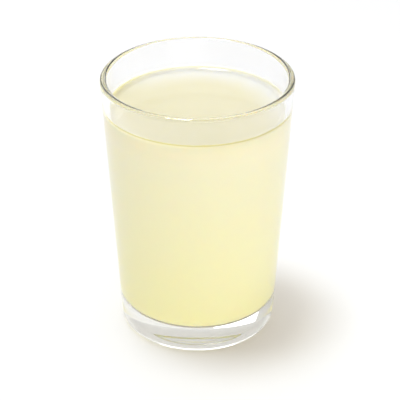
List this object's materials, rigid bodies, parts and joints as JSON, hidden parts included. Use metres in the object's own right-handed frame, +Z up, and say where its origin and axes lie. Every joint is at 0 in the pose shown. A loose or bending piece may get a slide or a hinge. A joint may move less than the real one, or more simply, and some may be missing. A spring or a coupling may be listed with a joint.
{
  "type": "glass of lemonade",
  "caption": "Plain tapered drinking glass with a thick clear base, filled with cloudy pale lemonade to just under its rounded rim.",
  "frame": {"origin": "middle of the foot, on the plane that the glass stands on", "axes": "+Z up along the axis of the glass; X and Y are level and alike"},
  "size_m": [0.078, 0.078, 0.112],
  "materials": {
    "clear_glass": "clear, fire-polished and smooth",
    "cloudy_lemonade": "cloudy pale yellow liquid with a still, glossy surface"
  },
  "bodies": {
    "root": {"tumbler": "clear_glass", "lemonade": "cloudy_lemonade"}
  },
  "joints": []
}
